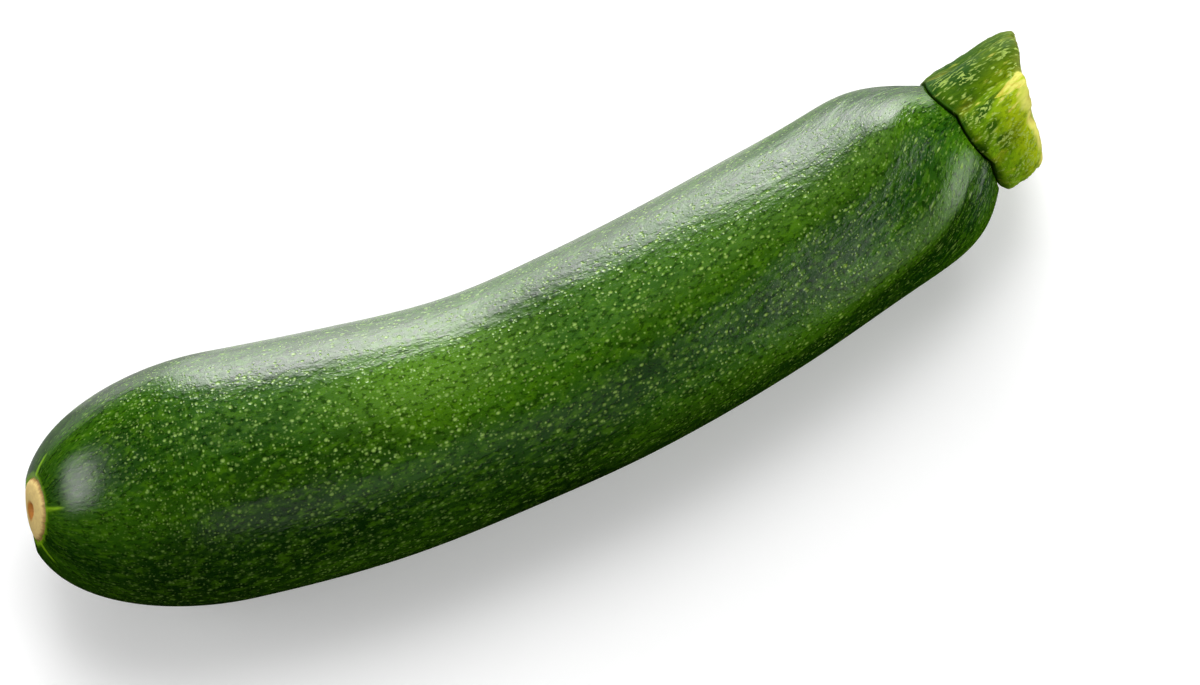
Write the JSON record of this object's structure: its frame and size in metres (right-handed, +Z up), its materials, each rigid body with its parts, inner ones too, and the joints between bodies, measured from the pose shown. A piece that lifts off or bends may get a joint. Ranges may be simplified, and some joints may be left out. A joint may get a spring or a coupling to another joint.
{
  "type": "zucchini",
  "caption": "Long, gently bent zucchini lying on its side, with soft lengthwise ridges, a corky flower scar at one end and a ribbed, cut stem stub at the other.",
  "frame": {"origin": "middle of the bounding box's underside, on the surface that the fruit lies on", "axes": "+X from the flower scar to the stem, +Y to the hollow side of the bend, +Z up"},
  "size_m": [0.2148, 0.057, 0.0465],
  "materials": {
    "zucchini_skin": "waxy dark green skin with pale yellow-green flecks, and a dull tan cork scar at the flower end",
    "stem_rind": "satin olive green rind with pale raised flecks, and a moist cream-yellow cut face"
  },
  "bodies": {
    "root": {"fruit": "zucchini_skin", "stem": "stem_rind"}
  },
  "joints": []
}
